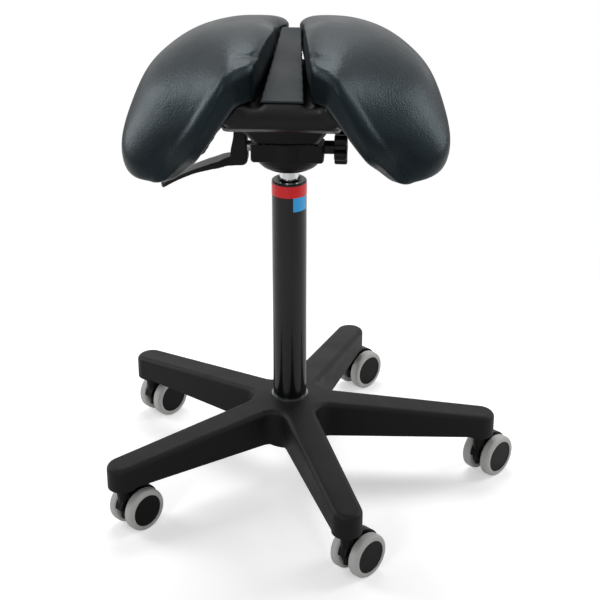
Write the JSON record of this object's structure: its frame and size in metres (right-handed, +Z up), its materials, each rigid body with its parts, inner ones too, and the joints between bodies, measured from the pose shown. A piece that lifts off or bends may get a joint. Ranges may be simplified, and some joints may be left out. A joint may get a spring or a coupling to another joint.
{
  "type": "saddle stool",
  "caption": "Saddle stool with a split padded seat, tilt knob, height lever, gas-lift column and star base on castors.",
  "frame": {"origin": "on the floor, on the axis of the column", "axes": "+Z up along the column, -Y the way the sitter faces, +X towards the tilt knob, -X towards the height lever"},
  "size_m": [0.6052, 0.6297, 0.7107],
  "materials": {
    "castor_tread": "satin light grey soft tread",
    "castor_plastic": "satin black moulded plastic",
    "plain_steel": "plain steel",
    "bright_steel": "ground bright steel",
    "base_plastic": "matte charcoal glass-filled nylon, fine grain",
    "column_paint": "gloss black paint",
    "bush_plastic": "satin black acetal",
    "band_red": "plain red film",
    "label_blue": "plain blue film",
    "lift_chrome": "polished chrome",
    "housing_paint": "satin black paint",
    "knob_plastic": "satin black plastic",
    "shell_plastic": "satin black moulded plastic",
    "strip_plastic": "fine textured dark grey plastic",
    "pad_leather": "dark blue-grey semi-gloss synthetic leather, fine grain",
    "lever_plastic": "matte black plastic"
  },
  "bodies": {
    "base": {"star_base": "base_plastic", "hub_sleeve": "plain_steel", "stem_sockets": "plain_steel", "castor_stems": "plain_steel", "column_tube": "column_paint", "guide_bush": "bush_plastic", "colour_band": "band_red", "column_label": "label_blue", "lower_race": "bright_steel", "bearing_balls": "bright_steel"},
    "castor_1": {"castor_1_body": "castor_plastic", "castor_1_axle": "plain_steel"},
    "castor_1_near_wheel": {"castor_1_near_hub": "castor_plastic", "castor_1_near_tread": "castor_tread"},
    "castor_1_far_wheel": {"castor_1_far_hub": "castor_plastic", "castor_1_far_tread": "castor_tread"},
    "castor_2": {"castor_2_body": "castor_plastic", "castor_2_axle": "plain_steel"},
    "castor_2_near_wheel": {"castor_2_near_hub": "castor_plastic", "castor_2_near_tread": "castor_tread"},
    "castor_2_far_wheel": {"castor_2_far_hub": "castor_plastic", "castor_2_far_tread": "castor_tread"},
    "castor_3": {"castor_3_body": "castor_plastic", "castor_3_axle": "plain_steel"},
    "castor_3_near_wheel": {"castor_3_near_hub": "castor_plastic", "castor_3_near_tread": "castor_tread"},
    "castor_3_far_wheel": {"castor_3_far_hub": "castor_plastic", "castor_3_far_tread": "castor_tread"},
    "castor_4": {"castor_4_body": "castor_plastic", "castor_4_axle": "plain_steel"},
    "castor_4_near_wheel": {"castor_4_near_hub": "castor_plastic", "castor_4_near_tread": "castor_tread"},
    "castor_4_far_wheel": {"castor_4_far_hub": "castor_plastic", "castor_4_far_tread": "castor_tread"},
    "castor_5": {"castor_5_body": "castor_plastic", "castor_5_axle": "plain_steel"},
    "castor_5_near_wheel": {"castor_5_near_hub": "castor_plastic", "castor_5_near_tread": "castor_tread"},
    "castor_5_far_wheel": {"castor_5_far_hub": "castor_plastic", "castor_5_far_tread": "castor_tread"},
    "gas_rod": {"piston_rod": "bright_steel", "piston": "plain_steel", "upper_race": "bright_steel", "retaining_clip": "plain_steel"},
    "lift": {"pressure_cylinder": "lift_chrome", "tilt_housing": "housing_paint", "tilt_bolt": "plain_steel", "friction_washers": "plain_steel"},
    "release_pin": {"release_pin": "bright_steel"},
    "tilt_knob": {"star_knob": "knob_plastic"},
    "seat": {"seat_pan": "housing_paint", "seat_shell": "shell_plastic", "centre_strip": "strip_plastic", "pad_right": "pad_leather", "pad_left": "pad_leather", "pan_screws": "plain_steel", "lever_bracket": "plain_steel"},
    "lever": {"height_lever": "lever_plastic", "lever_finger": "plain_steel"}
  },
  "joints": [
    {"name": "castor_1_swivel", "type": "hinge", "parent": "base", "child": "castor_1", "pos_m": [0.2899, 0.00759, 0.0325], "axis": [0, 0, 1], "continuous": true},
    {"name": "castor_1_near_roll", "type": "hinge", "parent": "castor_1", "child": "castor_1_near_wheel", "pos_m": [0.31834, 0.0144, 0.0325], "axis": [-0.7547, 0.6561, 0], "continuous": true},
    {"name": "castor_1_far_roll", "type": "hinge", "parent": "castor_1", "child": "castor_1_far_wheel", "pos_m": [0.29268, 0.03671, 0.0325], "axis": [-0.7547, 0.6561, 0], "continuous": true},
    {"name": "castor_2_swivel", "type": "hinge", "parent": "base", "child": "castor_2", "pos_m": [0.08236, 0.27806, 0.0325], "axis": [0, 0, 1], "continuous": true},
    {"name": "castor_2_near_roll", "type": "hinge", "parent": "castor_2", "child": "castor_2_near_wheel", "pos_m": [0.11081, 0.28487, 0.0325], "axis": [-0.7547, 0.6561, 0], "continuous": true},
    {"name": "castor_2_far_roll", "type": "hinge", "parent": "castor_2", "child": "castor_2_far_wheel", "pos_m": [0.08515, 0.30717, 0.0325], "axis": [-0.7547, 0.6561, 0], "continuous": true},
    {"name": "castor_3_swivel", "type": "hinge", "parent": "base", "child": "castor_3", "pos_m": [-0.239, 0.16426, 0.0325], "axis": [0, 0, 1], "continuous": true},
    {"name": "castor_3_near_roll", "type": "hinge", "parent": "castor_3", "child": "castor_3_near_wheel", "pos_m": [-0.21055, 0.17107, 0.0325], "axis": [-0.7547, 0.6561, 0], "continuous": true},
    {"name": "castor_3_far_roll", "type": "hinge", "parent": "castor_3", "child": "castor_3_far_wheel", "pos_m": [-0.23621, 0.19337, 0.0325], "axis": [-0.7547, 0.6561, 0], "continuous": true},
    {"name": "castor_4_swivel", "type": "hinge", "parent": "base", "child": "castor_4", "pos_m": [-0.23007, -0.17654, 0.0325], "axis": [0, 0, 1], "continuous": true},
    {"name": "castor_4_near_roll", "type": "hinge", "parent": "castor_4", "child": "castor_4_near_wheel", "pos_m": [-0.20163, -0.16973, 0.0325], "axis": [-0.7547, 0.6561, 0], "continuous": true},
    {"name": "castor_4_far_roll", "type": "hinge", "parent": "castor_4", "child": "castor_4_far_wheel", "pos_m": [-0.22729, -0.14743, 0.0325], "axis": [-0.7547, 0.6561, 0], "continuous": true},
    {"name": "castor_5_swivel", "type": "hinge", "parent": "base", "child": "castor_5", "pos_m": [0.0968, -0.27337, 0.0325], "axis": [0, 0, 1], "continuous": true},
    {"name": "castor_5_near_roll", "type": "hinge", "parent": "castor_5", "child": "castor_5_near_wheel", "pos_m": [0.12525, -0.26656, 0.0325], "axis": [-0.7547, 0.6561, 0], "continuous": true},
    {"name": "castor_5_far_roll", "type": "hinge", "parent": "castor_5", "child": "castor_5_far_wheel", "pos_m": [0.09959, -0.24425, 0.0325], "axis": [-0.7547, 0.6561, 0], "continuous": true},
    {"name": "seat_swivel", "type": "hinge", "parent": "base", "child": "gas_rod", "pos_m": [0, 0, 0], "axis": [0, 0, 1], "continuous": true},
    {"name": "height_slide", "type": "slide", "parent": "gas_rod", "child": "lift", "axis": [0, 0, 1], "range_m": [0, 0.195]},
    {"name": "seat_tilt", "type": "hinge", "parent": "lift", "child": "seat", "pos_m": [0, -0.028, 0.5445], "axis": [1, 0, 0], "range_deg": [-4, 8]},
    {"name": "knob_turn", "type": "hinge", "parent": "lift", "child": "tilt_knob", "pos_m": [0.0672, -0.028, 0.5445], "axis": [1, 0, 0], "range_deg": [0, 360]},
    {"name": "lever_lift", "type": "hinge", "parent": "seat", "child": "lever", "pos_m": [-0.068, 0, 0.564], "axis": [0, 1, 0], "range_deg": [0, 4], "stiffness_Nm_per_rad": 6, "springref_deg": -4.58},
    {"name": "release_pin_press", "type": "slide", "parent": "lift", "child": "release_pin", "axis": [0, 0, 1], "range_m": [-0.0049, 0]}
  ],
  "couplings": [
    {"joint": "release_pin_press", "follows": "lever_lift", "m_per_rad": -0.068}
  ]
}
